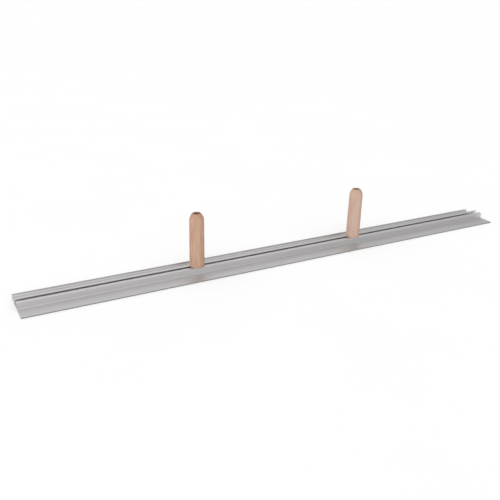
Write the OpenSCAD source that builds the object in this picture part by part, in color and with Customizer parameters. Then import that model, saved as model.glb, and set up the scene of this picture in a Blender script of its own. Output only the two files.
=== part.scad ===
// Darby float: a long extruded alloy blade with a T-channel along its back, and two turned wooden
// peg handles. Each handle is held by a long screw that runs down through it into a clamp nut in
// the channel, so a slackened handle slides along the blade and turns on its screw.
// Units are millimetres. The origin is on the sole, at the middle of the blade's length and width.
// +X runs along the blade, +Y towards its raised rear edge, +Z up from the sole.

/* [Blade] */
// Length of the blade
blade_l = 1200; // [600:10:1800]
// Width of the blade, front edge to rear edge
blade_w = 90; // [86:1:110]
// Thickness of the plate and of the rear flange
plate_t = 2.5; // [2:0.1:3]
// Width of the flat sole, from the front edge to the bend
sole_w = 68; // [66:1:72]
// Height of the rear flange's underside above the sole
flange_rise = 3; // [1:0.5:5]
// Height of the rear edge above the sole
rear_edge_h = 10.5; // [9:0.5:15]
// Thickness of the upright lip along the rear edge
rear_lip_t = 2; // [1.5:0.1:3]
// Radius of the hollow where the rear flange sweeps up into the lip
lip_root_r = 3; // [0.5:0.5:6]

/* [T-channel] */
// Distance from the front edge to the channel's front wall
front_w = 36; // [30:1:37]
// Outside width of the channel
channel_w = 25; // [24:0.5:26]
// Height of the channel's top above the sole
channel_h = 15.5; // [14:0.5:20]
// Thickness of the channel's walls
wall_t = 2.2; // [1.6:0.1:2.4]
// Thickness of the two lips over the channel
lip_t = 2.5; // [2:0.1:3]
// Width of the slot between the lips
slot_w = 8.5; // [8.3:0.1:10]
// Radius of the fillets where the walls meet the plate
foot_r = 1; // [0.5:0.1:2]

/* [Handles] */
// Place of the left handle along the blade, from the middle
left_x = -228; // [-280:1:-40]
// Place of the right handle along the blade, from the middle
right_x = 181; // [40:1:280]
// Diameter of a handle at its foot
handle_d = 32; // [30:0.5:36]
// Diameter of a handle where its rounded shoulder starts
neck_d = 31.2; // [28:0.1:36]
// Height of a handle
handle_h = 118; // [90:0.5:150]
// Height of the rounded shoulder at the top of a handle
shoulder_h = 16.5; // [12:0.5:25]
// Diameter of the flat top of a handle
crown_d = 18.4; // [17:0.1:20]
// Radius of the rounded edge at the foot of a handle
base_r = 1.5; // [0.5:0.1:3]
// Depth of the recess for the screw's head
recess_depth = 20.5; // [18:0.5:24]
// Diameter of the recess for the screw's head
recess_d = 14; // [13:0.1:14.6]

/* [Fasteners] */
// Gap between the screw's tip and the floor of the channel
tip_gap = 2.1; // [1:0.1:3]
// Width across the flats of the screw's hexagon socket
socket_af = 5; // [4:1:5]
// Diameter of the washer
washer_d = 12; // [11:0.5:12.5]
// Thickness of the washer
washer_t = 1.6; // [1:0.1:2]
// Length of the clamp nut along the channel
nut_l = 24; // [16:1:30]
// Thickness of the clamp nut under the lips
nut_t = 5; // [4:0.5:5]

/* [Hidden] */
$fn = 96;

// Thread size of the screw, and the sizes of its head
thread_d = 6;
head_d = 10;
head_h = 6;
socket_depth = 3;
tip_chamfer = 0.6;
tongue_h = 1.7;

// Gaps: radial in the running and threaded holes, per side along the channel
bore_gap = 0.075;
thread_gap = 0.02;
washer_gap = 0.2;
nut_gap = 0.3;
tongue_gap = 0.25;

// Section of the blade
front_y = -blade_w / 2;
rear_y = blade_w / 2;
bend_y = front_y + sole_w;
channel_front_y = front_y + front_w;
channel_y = channel_front_y + channel_w / 2;
bend_shift = plate_t * tan(22.5);
flange_top_z = flange_rise + plate_t;
lip_w = (channel_w - slot_w) / 2;

// Heights of the parts that stack on the channel
handle_r = handle_d / 2;
neck_r = neck_d / 2;
recess_z = channel_h + handle_h - recess_depth;
head_z = recess_z + washer_t;
screw_l = head_z - plate_t - tip_gap;
nut_top_z = channel_h - lip_t;
// The shoulder is an arc that starts upright at the neck and ends at the crown
crown_step = neck_r - crown_d / 2;
shoulder_r = (crown_step * crown_step + shoulder_h * shoulder_h) / (2 * crown_step);

wood = [0.82, 0.67, 0.57];
alloy = [0.72, 0.72, 0.73];
zinc = [0.62, 0.63, 0.65];

// Fillet in the corner at the origin, with a floor along -X and a wall along +Y.
module root_fillet(r) {
    translate([-r, 0]) difference() {
        square(r);
        translate([0, r]) circle(r);
    }
}

// Plate with the rear flange raised on a 45 degree bend, and the upright lip along the rear edge.
module plate_profile() {
    polygon([
        [front_y, 0],
        [bend_y, 0],
        [bend_y + flange_rise, flange_rise],
        [rear_y, flange_rise],
        [rear_y, rear_edge_h],
        [rear_y - rear_lip_t, rear_edge_h],
        [rear_y - rear_lip_t, flange_top_z],
        [bend_y + flange_rise - bend_shift, flange_top_z],
        [bend_y - bend_shift, plate_t],
        [front_y, plate_t]
    ]);
    translate([rear_y - rear_lip_t, flange_top_z]) {
        root_fillet(min(lip_root_r, rear_edge_h - flange_top_z));
    }
}

// One side of the channel, seen from its own wall towards the slot: wall, lip and foot fillet.
module channel_side_profile() {
    square([wall_t, channel_h]);
    translate([0, nut_top_z]) square([lip_w, lip_t]);
    translate([0, plate_t]) root_fillet(foot_r);
}

module blade_profile() {
    plate_profile();
    translate([channel_front_y, 0]) channel_side_profile();
    translate([channel_front_y + channel_w, 0]) mirror([1, 0]) channel_side_profile();
}

module blade() {
    color(alloy)
    translate([-blade_l / 2, 0, 0])
    rotate([90, 0, 90])
    linear_extrude(blade_l) blade_profile();
}

// Half section of a handle, from its foot up.
module handle_profile() {
    square([handle_r - base_r, base_r]);
    intersection() {
        translate([handle_r - base_r, base_r]) circle(base_r);
        square([handle_r, base_r]);
    }
    polygon([
        [0, base_r],
        [handle_r, base_r],
        [neck_r, handle_h - shoulder_h],
        [0, handle_h - shoulder_h]
    ]);
    translate([0, handle_h - shoulder_h]) intersection() {
        translate([neck_r - shoulder_r, 0]) circle(shoulder_r);
        square([neck_r, shoulder_h]);
    }
}

// Turned wooden peg with a running bore for the screw and a recess for its head.
module handle(x) {
    color(wood)
    translate([x, channel_y, channel_h])
    difference() {
        rotate_extrude() handle_profile();
        translate([0, 0, -1]) cylinder(d = thread_d + 2 * bore_gap, h = handle_h + 2);
        translate([0, 0, handle_h - recess_depth]) cylinder(d = recess_d, h = recess_depth + 1);
    }
}

// Flat washer on the floor of the recess.
module washer(x) {
    color(zinc)
    translate([x, channel_y, recess_z])
    difference() {
        cylinder(d = washer_d, h = washer_t);
        translate([0, 0, -1]) cylinder(d = thread_d + 2 * washer_gap, h = washer_t + 2);
    }
}

// Socket head screw, from its head on the washer down to below the clamp nut.
module screw(x) {
    color(zinc)
    translate([x, channel_y, head_z]) {
        difference() {
            cylinder(d = head_d, h = head_h);
            translate([0, 0, head_h - socket_depth])
                cylinder(d = socket_af / cos(30), h = socket_depth + 1, $fn = 6);
        }
        translate([0, 0, tip_chamfer - screw_l]) cylinder(d = thread_d, h = screw_l - tip_chamfer);
        translate([0, 0, -screw_l])
            cylinder(d1 = thread_d - 2 * tip_chamfer, d2 = thread_d, h = tip_chamfer);
    }
}

// Clamp nut: a plate under the two lips, with a tongue that keeps it straight in the slot.
module clamp_nut(x) {
    nut_w = channel_w - 2 * wall_t - 2 * nut_gap;
    tongue_w = slot_w - 2 * tongue_gap;
    color(zinc)
    translate([x, channel_y, nut_top_z])
    difference() {
        union() {
            translate([-nut_l / 2, -nut_w / 2, -nut_t]) cube([nut_l, nut_w, nut_t]);
            translate([-nut_l / 2, -tongue_w / 2, 0]) cube([nut_l, tongue_w, tongue_h]);
        }
        translate([0, 0, -nut_t - 1])
            cylinder(d = thread_d + 2 * thread_gap, h = nut_t + tongue_h + 2);
    }
}

blade();
handle(left_x);  // left_handle
washer(left_x);  // left_washer
screw(left_x);  // left_screw
clamp_nut(left_x);  // left_clamp_nut
handle(right_x);  // right_handle
washer(right_x);  // right_washer
screw(right_x);  // right_screw
clamp_nut(right_x);  // right_clamp_nut
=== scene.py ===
"""Looks for the darby float: an extruded alloy blade with two turned beech handles.

Every piece is built in metres in the CAD frame: +X along the blade, +Y towards its raised rear
edge, +Z up from the sole.
"""

import math

import bmesh
import bpy
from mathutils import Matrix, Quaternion, Vector, noise


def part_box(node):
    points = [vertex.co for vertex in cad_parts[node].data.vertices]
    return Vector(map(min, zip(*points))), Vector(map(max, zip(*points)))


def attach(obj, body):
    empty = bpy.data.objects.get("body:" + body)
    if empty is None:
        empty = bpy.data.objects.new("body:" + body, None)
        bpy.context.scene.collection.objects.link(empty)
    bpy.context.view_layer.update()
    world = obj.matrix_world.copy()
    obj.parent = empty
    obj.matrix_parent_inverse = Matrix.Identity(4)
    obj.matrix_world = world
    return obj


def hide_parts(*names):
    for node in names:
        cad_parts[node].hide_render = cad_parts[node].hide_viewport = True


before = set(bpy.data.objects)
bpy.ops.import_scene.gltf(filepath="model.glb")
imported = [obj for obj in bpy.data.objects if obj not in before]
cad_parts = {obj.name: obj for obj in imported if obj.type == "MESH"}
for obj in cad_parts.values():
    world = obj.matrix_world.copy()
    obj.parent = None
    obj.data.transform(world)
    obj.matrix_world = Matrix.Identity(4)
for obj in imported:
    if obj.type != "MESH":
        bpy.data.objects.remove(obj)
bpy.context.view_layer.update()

MM = 0.001
SIDES = ("left", "right")

# Section of the blade: heights from the sole, widths from the front edge
PLATE_T = 2.5 * MM
SOLE_W = 68 * MM
FLANGE_RISE = 3 * MM
REAR_EDGE_H = 10.5 * MM
REAR_LIP_T = 2 * MM
LIP_ROOT_R = 3 * MM
BEND_OUTER_R = 3 * MM
BEND_INNER_R = 1 * MM
CHANNEL_W = 25 * MM
WALL_T = 2.2 * MM
LIP_T = 2.5 * MM
SLOT_W = 8.5 * MM
FOOT_R = 1 * MM

# Handles: shape of the peg, its recess and its bore
BASE_R = 1.5 * MM
NECK_R = 15.6 * MM
SHOULDER_H = 16.5 * MM
CROWN_R = 9.2 * MM
RECESS_R = 7 * MM
RECESS_DEPTH = 20.5 * MM
BORE_R = 3.075 * MM
SIDE_STEPS = 40
SHOULDER_STEPS = 24

# Fasteners
THREAD_R = 3 * MM
THREAD_PITCH = 1 * MM
THREAD_L = 28 * MM
THREAD_ROWS_PER_TURN = 8
TIP_CHAMFER = 0.6 * MM
HEAD_H = 6 * MM
SOCKET_AF = 5 * MM
SOCKET_DEPTH = 3 * MM
WASHER_HOLE_R = 3.2 * MM
NUT_BORE_R = 3.02 * MM
NUT_CORNER_R = 0.8 * MM
TONGUE_W = 8 * MM
TONGUE_H = 1.7 * MM

# The camera: where it looks, from how far, and its turn about its own line of sight
CAMERA_AZIMUTH = math.radians(-29.0)
CAMERA_ELEVATION = math.radians(22.64)
CAMERA_ROLL = math.radians(1.41)
CAMERA_DISTANCE = 1.366
CAMERA_TARGET = Vector((-0.1271, -0.045, 0.0517))
CAMERA_LENS = 46.46

# Small edges: the usual radius, the gap to a guard point beside a corner, and steps round it
BEVEL = 0.4 * MM
GUARD = 0.04 * MM
ARC_STEPS = 4

# The stage: half the floor's width, and how far it lies below the sole
FLOOR_REACH = 60
FLOOR_DROP = 0.2 * MM


# ---------------------------------------------------------------- outlines


def arc_corner(before, corner, after, radius):
    """Points that round a corner between two neighbours, with a guard point on each side."""
    back = (before - corner).normalized()
    ahead = (after - corner).normalized()
    half = back.angle(ahead) / 2
    reach = radius / math.tan(half)
    centre = corner + (back + ahead).normalized() * (radius / math.sin(half))
    start = corner + back * reach - centre
    end = corner + ahead * reach - centre
    sweep = start.angle_signed(end)
    points = [corner + back * (reach + GUARD)]
    for step in range(ARC_STEPS + 1):
        turn = -sweep * step / ARC_STEPS
        cos, sin = math.cos(turn), math.sin(turn)
        spoke = Vector((start.x * cos - start.y * sin, start.x * sin + start.y * cos))
        points.append(centre + spoke)
    points.append(corner + ahead * (reach + GUARD))
    return points


def rounded(corners, closed=True):
    """The outline through (a, b, radius) corners, with each corner of radius above 0 rounded."""
    places = [Vector(c[:2]) for c in corners]
    outline = []
    for i, (a, b, radius) in enumerate(corners):
        at_end = not closed and i in (0, len(corners) - 1)
        if radius == 0 or at_end:
            outline.append(places[i])
        else:
            after = places[(i + 1) % len(places)]
            outline += arc_corner(places[i - 1], places[i], after, radius)
    return outline


def inset(outline, depth):
    """The outline, listed anticlockwise, moved inwards by a small depth."""
    moved = []
    for i, point in enumerate(outline):
        before = (point - outline[i - 1]).normalized()
        after = (outline[(i + 1) % len(outline)] - point).normalized()
        inwards = Vector((-before.y - after.y, before.x + after.x)).normalized()
        moved.append(point + inwards * depth)
    return moved


def rounded_rectangle(half_x, half_y, radius, per_side=12):
    """Points round a rectangle, anticlockwise, with the same number on each side."""
    points = []
    quarter = math.pi / 2
    for i, (sx, sy) in enumerate(((1, -1), (1, 1), (-1, 1), (-1, -1))):
        centre = Vector((sx * (half_x - radius), sy * (half_y - radius)))
        first = (i - 1) * quarter
        for step in range(ARC_STEPS + 1):
            angle = first + quarter * step / ARC_STEPS
            points.append(centre + Vector((math.cos(angle), math.sin(angle))) * radius)
        along = (Vector((0, 1)), Vector((-1, 0)), Vector((0, -1)), Vector((1, 0)))[i]
        length = 2 * ((half_y, half_x)[i % 2] - radius)
        last = points[-1]
        for step in range(1, per_side):
            points.append(last + along * (length * step / per_side))
    return points


def circle_through(points, radius):
    """Points of a circle round the origin, each in the direction of one of the given points."""
    return [point.normalized() * radius for point in points]


# ---------------------------------------------------------------- meshes


def loft(rings, closed=False):
    """A mesh whose skin joins each ring of points to the next.

    A closed one joins the last ring to the first. An open one has its two ends filled, and they
    take the second material.
    """
    bm = bmesh.new()
    loops = [[bm.verts.new(point) for point in ring] for ring in rings]
    following = loops[1:] + loops[:1] if closed else loops[1:]
    for near, far in zip(loops, following):
        for i in range(len(near)):
            j = (i + 1) % len(near)
            bm.faces.new((near[i], near[j], far[j], far[i]))
    if not closed:
        ends = [bm.faces.new(loops[0]), bm.faces.new(loops[-1])]
        for face in ends:
            face.material_index = 1
            face.normal_update()
        bmesh.ops.triangulate(bm, faces=ends)
    bmesh.ops.recalc_face_normals(bm, faces=bm.faces)
    return bm


def lathe(profile, centre, segments=96, closed=False):
    """A turned mesh. Each (radius, height) of the profile is a ring, and a radius may be a
    function of the angle."""
    rings = []
    for radius, height in profile:
        ring = []
        for k in range(segments):
            angle = math.tau * k / segments
            reach = radius(angle) if callable(radius) else radius
            x = centre.x + reach * math.cos(angle)
            y = centre.y + reach * math.sin(angle)
            ring.append((x, y, height))
        rings.append(ring)
    return loft(rings, closed)


def mark_worn_edges(bm, least=math.radians(8), full=math.radians(22)):
    """Stores how sharply each vertex stands out, 0 on a flat and 1 on an edge, for the materials."""
    layer = bm.verts.layers.float.new("edge_wear")
    for vertex in bm.verts:
        sharpest = max(edge.calc_face_angle_signed(0.0) for edge in vertex.link_edges)
        vertex[layer] = min(1.0, max(0.0, (sharpest - least) / (full - least)))


def add_piece(name, bm, body, node, slot, *materials):
    """Makes the mesh a piece that stands for one CAD node and rides on its body."""
    mark_worn_edges(bm)
    mesh = bpy.data.meshes.new(name)
    bm.to_mesh(mesh)
    bm.free()
    mesh.shade_smooth()
    mesh.set_sharp_from_angle(angle=math.radians(40))
    for material in materials:
        mesh.materials.append(material)
    piece = bpy.data.objects.new(name, mesh)
    bpy.context.scene.collection.objects.link(piece)
    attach(piece, body)
    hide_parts(node)
    return piece


# ---------------------------------------------------------------- material helpers


def new_material(name):
    """A new node material, its tree and its shader."""
    made = bpy.data.materials.new(name)
    made.use_nodes = True
    tree = made.node_tree
    return made, tree, tree.nodes["Principled BSDF"]


def feed(tree, target, values):
    """Sets inputs of a node, by name or number, to a value or to another node's output."""
    for key, value in values.items():
        if isinstance(value, bpy.types.NodeSocket):
            tree.links.new(value, target.inputs[key])
        else:
            target.inputs[key].default_value = value


def put(tree, kind, values, **settings):
    """Adds a shader node with its settings and its inputs."""
    made = tree.nodes.new(kind)
    for key, value in settings.items():
        setattr(made, key, value)
    feed(tree, made, values)
    return made


def object_place(tree, origin=(0, 0, 0)):
    """Coordinates in metres from a point of the piece, which turn and slide with it."""
    place = tree.nodes.new("ShaderNodeTexCoord").outputs["Object"]
    moved = put(tree, "ShaderNodeVectorMath", {0: place, 1: origin}, operation="SUBTRACT")
    return moved.outputs[0]


def grain(tree, place, density, detail=3.0, roughness=0.55, distortion=0.0, offset=(0, 0, 0)):
    """Noise from 0 to 1 with so many features a metre along each axis."""
    scaled = put(tree, "ShaderNodeMapping", {"Vector": place, "Scale": density, "Location": offset})
    values = {
        "Vector": scaled.outputs[0],
        "Scale": 1.0,
        "Detail": detail,
        "Roughness": roughness,
        "Distortion": distortion,
    }
    return put(tree, "ShaderNodeTexNoise", values).outputs[0]


def span(tree, value, low, high, to_low, to_high):
    """The value's range from low to high, stretched to another range and held inside it."""
    values = {
        "Value": value,
        "From Min": low,
        "From Max": high,
        "To Min": to_low,
        "To Max": to_high,
    }
    return put(tree, "ShaderNodeMapRange", values).outputs[0]


def calculate(tree, operation, a, b=0.0):
    return put(tree, "ShaderNodeMath", {0: a, 1: b}, operation=operation).outputs[0]


def mix(tree, factor, a, b, blend="MIX"):
    """Two colours mixed by a factor."""
    values = {0: factor, 6: a, 7: b}
    return put(tree, "ShaderNodeMix", values, data_type="RGBA", blend_type=blend).outputs[2]


def bump(tree, height, depth, strength=1.0, normal=None):
    """A bump of that depth in metres, on top of another one where it is given."""
    values = {"Height": height, "Distance": depth, "Strength": strength}
    if normal is not None:
        values["Normal"] = normal
    return put(tree, "ShaderNodeBump", values).outputs[0]


def edge_wear(tree):
    attribute = put(tree, "ShaderNodeAttribute", {}, attribute_name="edge_wear")
    return attribute.outputs["Fac"]


# ---------------------------------------------------------------- materials


def alloy_material():
    """Mill-finish extrusion: die lines along the blade, soft bands, rubbed edges, and a narrow dark
    line of painted shade along the front edge."""
    made, tree, skin = new_material("mill_finish_alloy")
    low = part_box("blade")[0]
    place = object_place(tree)
    lines = grain(tree, place, (4, 2600, 2600), detail=4)
    bands = grain(tree, place, (1.5, 260, 260), detail=3)
    clouds = grain(tree, place, (14, 30, 30), detail=4)
    base = mix(tree, span(tree, lines, 0.3, 0.7, 0, 1), (0.58, 0.57, 0.57, 1), (0.665, 0.655, 0.655, 1))
    base = mix(tree, span(tree, bands, 0.4, 0.7, 0, 0.5), base, (0.545, 0.535, 0.535, 1))
    base = mix(tree, span(tree, clouds, 0.35, 0.75, 0, 0.25), base, (0.54, 0.525, 0.525, 1))
    base = mix(tree, calculate(tree, "MULTIPLY", edge_wear(tree), 0.5), base, (0.70, 0.69, 0.685, 1))
    across = put(tree, "ShaderNodeSeparateXYZ", {0: place}).outputs[1]
    # Painted shade: a narrow strip along the front edge is darkened towards near-black, standing in for
    # the shaded, dark-reflecting front face.
    front = span(tree, across, low.y + 0.1 * MM, low.y + 0.35 * MM, 0.8, 0)
    base = mix(tree, front, base, (0.24, 0.24, 0.245, 1))
    smear = span(tree, clouds, 0.3, 0.7, 0, 0.06)
    rough = calculate(tree, "ADD", span(tree, lines, 0.3, 0.7, 0.37, 0.50), smear)
    feed(tree, skin, {
        "Base Color": base,
        "Metallic": 1.0,
        "Roughness": rough,
        "Normal": bump(tree, lines, 0.03 * MM, 0.5),
    })
    return made


def saw_cut_material():
    """The blade's sawn ends: dull metal with fine saw marks."""
    made, tree, skin = new_material("sawn_alloy")
    place = object_place(tree)
    marks = grain(tree, place, (400, 900, 2800), detail=2)
    base = mix(tree, span(tree, marks, 0.3, 0.7, 0, 1), (0.34, 0.34, 0.34, 1), (0.56, 0.56, 0.56, 1))
    feed(tree, skin, {
        "Base Color": base,
        "Metallic": 1.0,
        "Roughness": span(tree, marks, 0.3, 0.7, 0.42, 0.6),
        "Normal": bump(tree, marks, 0.05 * MM, 0.7),
    })
    return made


def wood_material(name, origin, pith, pale, tan, blush, fleck):
    """Bare turned beech. Its rings run round a pith beside the peg, and its fibres run up it."""
    made, tree, skin = new_material(name)
    place = object_place(tree, origin)
    tilted = put(tree, "ShaderNodeMapping", {
        "Vector": place,
        "Location": pith,
        "Rotation": (0.05, -0.04, 0),
    })
    rings = put(tree, "ShaderNodeTexWave", {
        "Vector": tilted.outputs[0],
        "Scale": 90.0,
        "Distortion": 2.0,
        "Detail": 2.0,
        "Detail Scale": 0.4,
    }, wave_type="RINGS", rings_direction="Z", wave_profile="SAW").outputs[1]
    fibres = grain(tree, place, (1500, 1500, 45), detail=4)
    bands = grain(tree, place, (170, 170, 14), detail=3)
    blotches = grain(tree, place, (120, 120, 24), detail=2, offset=(3.1, 7.7, 1.3))
    flecks = grain(tree, place, (2300, 2300, 320), detail=1, roughness=0.4)
    figure = mix(tree, span(tree, bands, 0.36, 0.62, 0, 1), pale, tan)
    figure = mix(tree, span(tree, rings, 0.35, 1.0, 0.0, 0.55), figure, blush)
    figure = mix(tree, span(tree, blotches, 0.5, 0.66, 0, 0.75), figure, blush)
    figure = mix(tree, span(tree, fibres, 0.35, 0.75, 0, 0.3), figure, pale)
    figure = mix(tree, span(tree, flecks, 0.62, 0.72, 0, 0.5), figure, fleck)
    normal = tree.nodes.new("ShaderNodeTexCoord").outputs["Normal"]
    facing_up = put(tree, "ShaderNodeSeparateXYZ", {0: normal}).outputs[2]
    figure = mix(tree, span(tree, facing_up, 0.15, 1.0, 0, 0.45), figure, fleck)
    flat = put(tree, "ShaderNodeVectorMath", {0: place, 1: (1, 1, 0)}, operation="MULTIPLY").outputs[0]
    radius = put(tree, "ShaderNodeVectorMath", {0: flat}, operation="LENGTH").outputs[1]
    # Painted shade: inside the recess and bore the wood is darkened towards the fleck colour, where
    # shade falls in the hollow.
    painted_recess_shade = span(tree, radius, RECESS_R - 0.02 * MM, RECESS_R + 0.35 * MM, 0.75, 0)
    figure = mix(tree, painted_recess_shade, figure, fleck)
    figure = mix(tree, calculate(tree, "MULTIPLY", edge_wear(tree), 0.3), figure, fleck)
    pores = bump(tree, flecks, 0.05 * MM, 0.5)
    feed(tree, skin, {
        "Base Color": figure,
        "Roughness": span(tree, fibres, 0.3, 0.7, 0.52, 0.68),
        "Specular IOR Level": 0.35,
        "Normal": bump(tree, fibres, 0.04 * MM, 0.5, pores),
    })
    return made


def zinc_material():
    """Bright zinc plate on steel: cool, slightly mottled, rubbed at the edges."""
    made, tree, skin = new_material("zinc_plate")
    place = object_place(tree)
    mottle = grain(tree, place, (900, 900, 900), detail=5)
    tint = grain(tree, place, (160, 160, 160), detail=2)
    base = mix(tree, span(tree, mottle, 0.3, 0.7, 0, 1), (0.50, 0.515, 0.54, 1), (0.62, 0.63, 0.645, 1))
    base = mix(tree, span(tree, tint, 0.45, 0.75, 0, 0.3), base, (0.62, 0.59, 0.52, 1))
    base = mix(tree, calculate(tree, "MULTIPLY", edge_wear(tree), 0.5), base, (0.76, 0.76, 0.76, 1))
    feed(tree, skin, {
        "Base Color": base,
        "Metallic": 1.0,
        "Roughness": span(tree, mottle, 0.3, 0.7, 0.24, 0.42),
        "Normal": bump(tree, mottle, 0.02 * MM, 0.4),
    })
    return made


# ---------------------------------------------------------------- blade


def channel_centre():
    """Where the middle of the T-channel is across the blade: under the handles."""
    low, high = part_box("left_handle")
    return (low.y + high.y) / 2


def blade_outline():
    """The blade's section, anticlockwise from the front edge, seen with +Y to the right."""
    low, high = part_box("blade")
    channel_y = channel_centre()
    bend = low.y + SOLE_W
    bend_shift = PLATE_T * math.tan(math.radians(22.5))
    flange_top = FLANGE_RISE + PLATE_T
    top = high.z
    ceiling = top - LIP_T
    out, inner, slot = CHANNEL_W / 2, CHANNEL_W / 2 - WALL_T, SLOT_W / 2
    corners = [
        (low.y, 0, BEVEL),
        (bend, 0, BEND_OUTER_R),
        (bend + FLANGE_RISE, FLANGE_RISE, BEND_INNER_R),
        (high.y, FLANGE_RISE, BEVEL),
        (high.y, REAR_EDGE_H, BEVEL),
        (high.y - REAR_LIP_T, REAR_EDGE_H, BEVEL),
        (high.y - REAR_LIP_T, flange_top, LIP_ROOT_R),
        (bend + FLANGE_RISE - bend_shift, flange_top, BEND_OUTER_R),
        (bend - bend_shift, PLATE_T, BEND_INNER_R),
    ]
    side = [
        (out, PLATE_T, FOOT_R),
        (out, top, BEVEL),
        (slot, top, BEVEL),
        (slot, ceiling, BEVEL),
        (inner, ceiling, BEVEL),
        (inner, PLATE_T, BEVEL),
    ]
    corners += [(channel_y + y, z, r) for y, z, r in side]
    corners += [(channel_y - y, z, r) for y, z, r in reversed(side)]
    corners.append((low.y, PLATE_T, BEVEL))
    return rounded(corners)


def build_blade(alloy, sawn):
    low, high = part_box("blade")
    outline = blade_outline()
    burr = 0.15 * MM
    sections = [
        (low.x, inset(outline, burr)),
        (low.x + burr, outline),
        (low.x + burr + GUARD, outline),
        (high.x - burr - GUARD, outline),
        (high.x - burr, outline),
        (high.x, inset(outline, burr)),
    ]
    rings = [[(x, p.x, p.y) for p in section] for x, section in sections]
    return add_piece("blade_extrusion", loft(rings), "blade", "blade", "blade_alloy", alloy, sawn)


# ---------------------------------------------------------------- handles


def turned(radius, height, seed):
    """A radius that wanders a few hundredths of a millimetre, as on a turned and sanded peg."""
    def reach(angle):
        place = Vector((math.cos(angle), math.sin(angle), height * 60 + seed))
        return radius - 0.06 * MM + 0.05 * MM * noise.noise(place)
    return reach


def handle_profile(low, high, seed):
    """Half section of a handle as a closed loop: foot, side, shoulder, crown, recess, bore."""
    foot_r = (high.x - low.x) / 2
    neck_z = high.z - SHOULDER_H
    crown_step = NECK_R - CROWN_R
    shoulder_r = (crown_step ** 2 + SHOULDER_H ** 2) / (2 * crown_step)
    shoulder_arc = math.asin(SHOULDER_H / shoulder_r)
    floor = high.z - RECESS_DEPTH
    foot = rounded([(BORE_R, low.z, 0), (foot_r, low.z, BASE_R), (NECK_R, neck_z, 0)], closed=False)
    side = []
    for step in range(2, SIDE_STEPS):
        share = step / SIDE_STEPS
        side.append((foot_r + (NECK_R - foot_r) * share, low.z + (neck_z - low.z) * share))
    shoulder = []
    for step in range(SHOULDER_STEPS + 1):
        angle = shoulder_arc * step / SHOULDER_STEPS
        radius = NECK_R - shoulder_r + shoulder_r * math.cos(angle)
        shoulder.append((radius, neck_z + shoulder_r * math.sin(angle)))
    recess = rounded([
        (CROWN_R, high.z, 0),
        (RECESS_R, high.z, 0.25 * MM),
        (RECESS_R, floor, 0.2 * MM),
        (BORE_R, floor, 0.2 * MM),
        (BORE_R, low.z, 0),
    ], closed=False)
    outer = [(p.x, p.y) for p in foot[1:-1]] + side + shoulder
    inner = [(p.x, p.y) for p in recess[1:]]
    return [(turned(r, z, seed), z) for r, z in outer] + inner


def build_handle(side, wood, seed):
    low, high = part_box(f"{side}_handle")
    centre = (low + high) / 2
    bm = lathe(handle_profile(low, high, seed), centre, segments=128, closed=True)
    return add_piece(f"{side}_peg", bm, f"{side}_grip", f"{side}_handle", f"{side}_wood", wood)


# ---------------------------------------------------------------- fasteners


def hexagon(across_flats):
    """Radius of a hexagon at an angle."""
    def reach(angle):
        return across_flats / 2 / math.cos((angle + math.pi / 6) % (math.pi / 3) - math.pi / 6)
    return reach


def knurled(radius, teeth=48, depth=0.12 * MM):
    """Radius of a straight-knurled rim at an angle."""
    def reach(angle):
        return radius - depth * (0.5 - 0.5 * math.cos(teeth * angle))
    return reach


def threaded(height, tip, root=0.55 * MM):
    """Radius of the screw's thread at an angle, fading out at both ends and chamfered at the tip."""
    fade = min(1.0, (height - tip) / THREAD_PITCH, (tip + THREAD_L - height) / THREAD_PITCH)
    chamfer = max(0.0, TIP_CHAMFER - (height - tip))

    def reach(angle):
        phase = ((height - tip) / THREAD_PITCH - angle / math.tau) % 1.0
        flank = abs(2 * phase - 1)
        return THREAD_R - root * max(0.0, fade) * flank - chamfer
    return reach


def screw_profile(low, high):
    """Half section of a screw from its tip, up its thread and head, to its socket's floor."""
    head_r = (high.x - low.x) / 2
    head_z = high.z - HEAD_H
    tip_step = 0.05 * MM
    tip_r = THREAD_R - TIP_CHAMFER
    profile = [(tip_r, low.z), (tip_r + tip_step, low.z + tip_step)]
    thread_rows = round(THREAD_L / THREAD_PITCH * THREAD_ROWS_PER_TURN)
    for row in range(1, thread_rows):
        height = low.z + THREAD_L * row / thread_rows
        profile.append((threaded(height, low.z), height))
    profile += [
        (THREAD_R, low.z + THREAD_L + GUARD),
        (THREAD_R, head_z - GUARD),
        (THREAD_R, head_z),
        (head_r - 0.3 * MM, head_z),
        (knurled(head_r), head_z + 0.3 * MM),
        (knurled(head_r), high.z - 0.9 * MM),
        (head_r - 0.1 * MM, high.z - 0.6 * MM),
        (head_r - 0.15 * MM, high.z - 0.45 * MM),
        (head_r - 0.6 * MM, high.z),
        (hexagon(SOCKET_AF + 0.5 * MM), high.z),
        (hexagon(SOCKET_AF), high.z - 0.25 * MM),
        (hexagon(SOCKET_AF), high.z - SOCKET_DEPTH),
        (1.6 * MM, high.z - SOCKET_DEPTH - 0.1 * MM),
        (0.2 * MM, high.z - SOCKET_DEPTH - 0.9 * MM),
    ]
    return profile


def build_screw(side, zinc):
    low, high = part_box(f"{side}_screw")
    bm = lathe(screw_profile(low, high), (low + high) / 2)
    body, node = f"{side}_clamp_screw", f"{side}_screw"
    return add_piece(f"{side}_cap_screw", bm, body, node, "zinc_steel", zinc, zinc)


def build_washer(side, zinc):
    low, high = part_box(f"{side}_washer")
    outer_r = (high.x - low.x) / 2
    corners = [
        (WASHER_HOLE_R, low.z, 0.15 * MM),
        (outer_r, low.z, 0.15 * MM),
        (outer_r, high.z, 0.35 * MM),
        (WASHER_HOLE_R, high.z, 0.25 * MM),
    ]
    profile = [(p.x, p.y) for p in rounded(corners)]
    bm = lathe(profile, (low + high) / 2, closed=True)
    body, node = f"{side}_clamp_washer", f"{side}_washer"
    return add_piece(f"{side}_flat_washer", bm, body, node, "zinc_steel", zinc)


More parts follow.
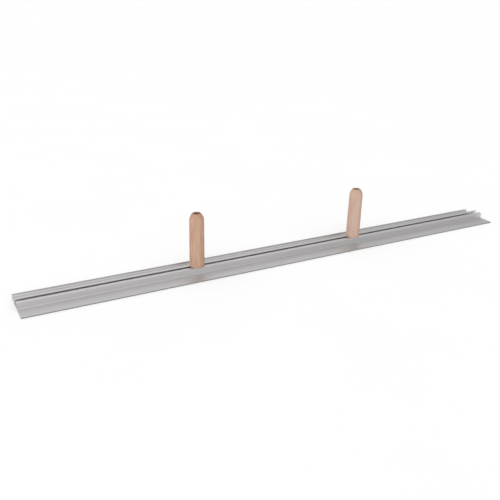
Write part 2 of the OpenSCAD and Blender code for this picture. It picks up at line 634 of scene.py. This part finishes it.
def build_clamp_nut(side, zinc):
    """A plate with a tongue along its top and a chamfered hole down through both."""
    low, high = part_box(f"{side}_clamp_nut")
    centre, half = (low + high) / 2, (high - low) / 2
    shelf = high.z - TONGUE_H
    edge = 0.3 * MM
    chamfer = 0.4 * MM
    small_r = NUT_CORNER_R - edge
    plate = rounded_rectangle(half.x, half.y, NUT_CORNER_R)
    small_plate = rounded_rectangle(half.x - edge, half.y - edge, small_r)
    tongue = rounded_rectangle(half.x - edge, TONGUE_W / 2, NUT_CORNER_R)
    small_tongue = rounded_rectangle(half.x - 2 * edge, TONGUE_W / 2 - edge, small_r)
    hole = circle_through(plate, NUT_BORE_R)
    mouth = circle_through(plate, NUT_BORE_R + chamfer)
    levels = [
        (hole, low.z + chamfer),
        (mouth, low.z),
        (small_plate, low.z),
        (plate, low.z + edge),
        (plate, shelf - edge),
        (small_plate, shelf),
        (tongue, shelf),
        (tongue, high.z - edge),
        (small_tongue, high.z),
        (mouth, high.z),
        (hole, high.z - chamfer),
    ]
    rings = [[(centre.x + p.x, centre.y + p.y, z) for p in points] for points, z in levels]
    bm = loft(rings, closed=True)
    body, node = f"{side}_carriage", f"{side}_clamp_nut"
    return add_piece(f"{side}_tee_nut", bm, body, node, "zinc_steel", zinc)


# ---------------------------------------------------------------- stage


def build_floor():
    """A plain pale floor, far wider than the float."""
    made, tree, skin = new_material("pale_floor")
    mottle = grain(tree, object_place(tree), (3, 3, 3), detail=3)
    feed(tree, skin, {
        "Base Color": mix(tree, mottle, (0.89, 0.89, 0.89, 1), (0.91, 0.91, 0.91, 1)),
        "Roughness": 0.9,
        "Specular IOR Level": 0.1,
    })
    bm = bmesh.new()
    bmesh.ops.create_grid(bm, x_segments=1, y_segments=1, size=FLOOR_REACH)
    mesh = bpy.data.meshes.new("floor")
    bm.to_mesh(mesh)
    bm.free()
    mesh.materials.append(made)
    floor = bpy.data.objects.new("floor", mesh)
    floor.location.z = -FLOOR_DROP
    bpy.context.scene.collection.objects.link(floor)


def build_studio():
    """A white tent of light, brightest in front and on the left and dim on the right, and a weak
    soft key light."""
    world = bpy.data.worlds.new("studio")
    world.use_nodes = True
    tree = world.node_tree
    direction = tree.nodes.new("ShaderNodeTexCoord").outputs["Generated"]
    axes = put(tree, "ShaderNodeSeparateXYZ", {0: direction})
    height = span(tree, axes.outputs[2], 0.0, 0.5, 0.88, 0.96)
    facing = {0: direction, 1: (-0.5, -0.87, 0)}
    towards = put(tree, "ShaderNodeVectorMath", facing, operation="DOT_PRODUCT").outputs[1]
    front = span(tree, towards, -0.2, 1.0, 1.0, 1.46)
    left = span(tree, axes.outputs[0], -1.0, 0.2, 1.18, 0.96)
    right = span(tree, axes.outputs[0], 0.45, 0.8, 1.0, 0.56)
    glow = calculate(tree, "MULTIPLY", height, front)
    glow = calculate(tree, "MULTIPLY", glow, calculate(tree, "MULTIPLY", left, right))
    feed(tree, tree.nodes["Background"], {"Color": (1, 1, 1, 1), "Strength": glow})
    bpy.context.scene.world = world
    data = bpy.data.lights.new("key", "SUN")
    data.energy = 0.3
    data.angle = math.radians(50)
    key = bpy.data.objects.new("key", data)
    key.rotation_mode = "QUATERNION"
    key.rotation_quaternion = Vector((0.75, 0.8, -1.2)).to_track_quat("-Z", "Y")
    bpy.context.scene.collection.objects.link(key)
    bpy.context.scene.view_settings.view_transform = "Standard"


def add_camera():
    data = bpy.data.cameras.new("camera")
    data.lens = CAMERA_LENS
    data.clip_end = 200
    camera = bpy.data.objects.new("camera", data)
    back = Vector((
        math.sin(CAMERA_AZIMUTH) * math.cos(CAMERA_ELEVATION),
        -math.cos(CAMERA_AZIMUTH) * math.cos(CAMERA_ELEVATION),
        math.sin(CAMERA_ELEVATION),
    ))
    camera.location = CAMERA_TARGET + back * CAMERA_DISTANCE
    camera.rotation_mode = "QUATERNION"
    roll = Quaternion((0, 0, 1), CAMERA_ROLL)
    camera.rotation_quaternion = (-back).to_track_quat("-Z", "Y") @ roll
    bpy.context.scene.collection.objects.link(camera)
    bpy.context.scene.camera = camera


# ---------------------------------------------------------------- the float


def handle_wood(side):
    low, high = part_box(f"{side}_handle")
    foot = ((low.x + high.x) / 2, (low.y + high.y) / 2, low.z)
    if side == "left":
        return wood_material(
            "left_beech", foot, (0.052, 0.031, 0),
            pale=(0.54, 0.37, 0.268, 1), tan=(0.465, 0.288, 0.188, 1),
            blush=(0.435, 0.22, 0.158, 1), fleck=(0.22, 0.125, 0.07, 1),
        )
    return wood_material(
        "right_beech", foot, (-0.038, 0.057, 0),
        pale=(0.55, 0.415, 0.335, 1), tan=(0.49, 0.335, 0.253, 1),
        blush=(0.49, 0.288, 0.232, 1), fleck=(0.29, 0.18, 0.12, 1),
    )


add_camera()
build_floor()
build_studio()
build_blade(alloy_material(), saw_cut_material())
zinc_plate = zinc_material()
for number, side in enumerate(SIDES):
    build_handle(side, handle_wood(side), seed=10 * number)
    build_screw(side, zinc_plate)
    build_washer(side, zinc_plate)
    build_clamp_nut(side, zinc_plate)
